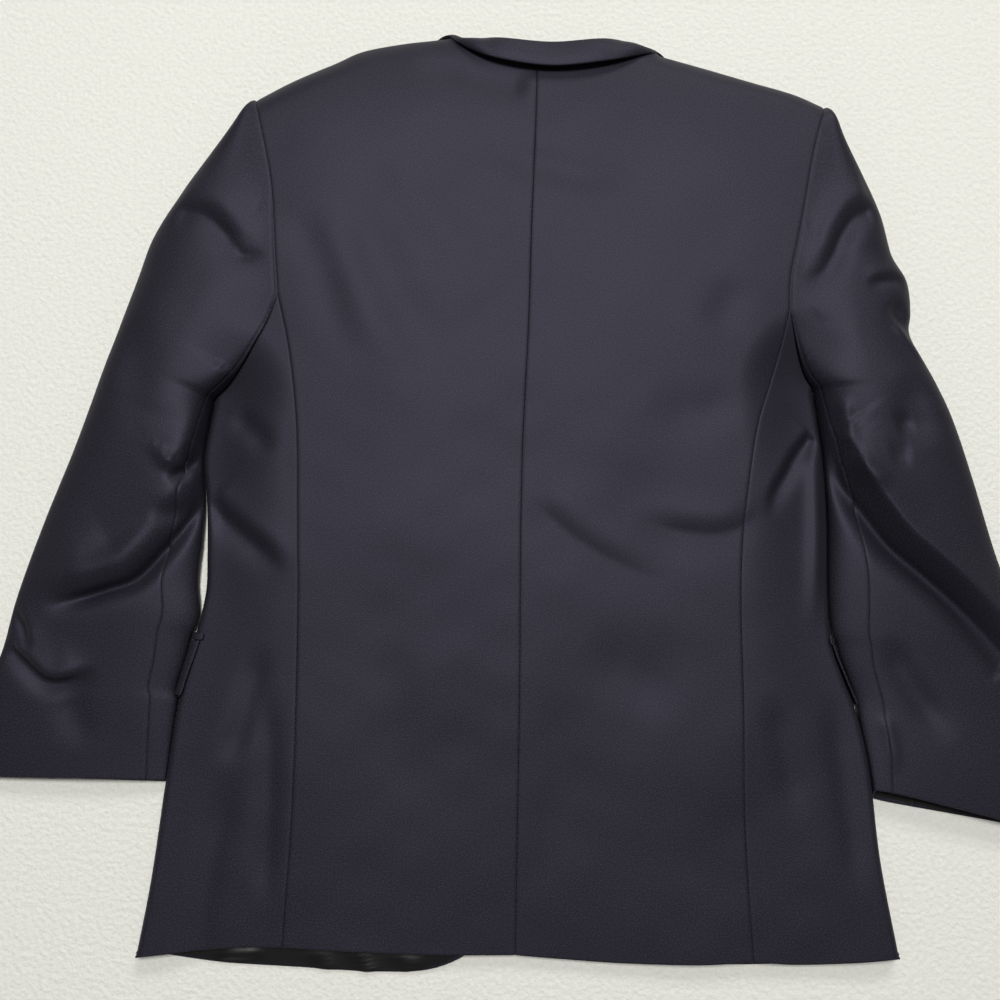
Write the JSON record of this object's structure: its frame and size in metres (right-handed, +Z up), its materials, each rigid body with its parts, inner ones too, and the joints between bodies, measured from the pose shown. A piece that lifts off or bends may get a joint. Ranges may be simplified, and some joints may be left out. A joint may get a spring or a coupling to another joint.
{
  "type": "sport coat",
  "caption": "Men's tailored sport coat lying flat with its back up: back, side and front panels, two-piece sleeves, notched lapels under the front, collar fall and flap pockets.",
  "frame": {"origin": "centre of the coat's plan, on the surface that it lies on", "axes": "+X across the coat to the right as seen from above, +Y towards the collar, +Z up from the surface, out of the back"},
  "size_m": [0.8758, 0.7992, 0.049],
  "materials": {
    "wool_suiting": "fine dark navy worsted wool suiting with a slight nap, lined",
    "dark_horn": "dark horn-like button, satin"
  },
  "bodies": {
    "root": {"back_left": "wool_suiting", "back_right": "wool_suiting", "side_left": "wool_suiting", "side_right": "wool_suiting", "front_left": "wool_suiting", "front_right": "wool_suiting", "lapel_left": "wool_suiting", "lapel_right": "wool_suiting", "collar_fall": "wool_suiting", "collar_stand": "wool_suiting", "top_sleeve_left": "wool_suiting", "top_sleeve_right": "wool_suiting", "under_sleeve_left": "wool_suiting", "under_sleeve_right": "wool_suiting", "pocket_flap_left": "wool_suiting", "pocket_flap_right": "wool_suiting", "pocket_welt_left": "wool_suiting", "pocket_welt_right": "wool_suiting", "front_button_upper": "dark_horn", "front_button_lower": "dark_horn"}
  },
  "joints": []
}
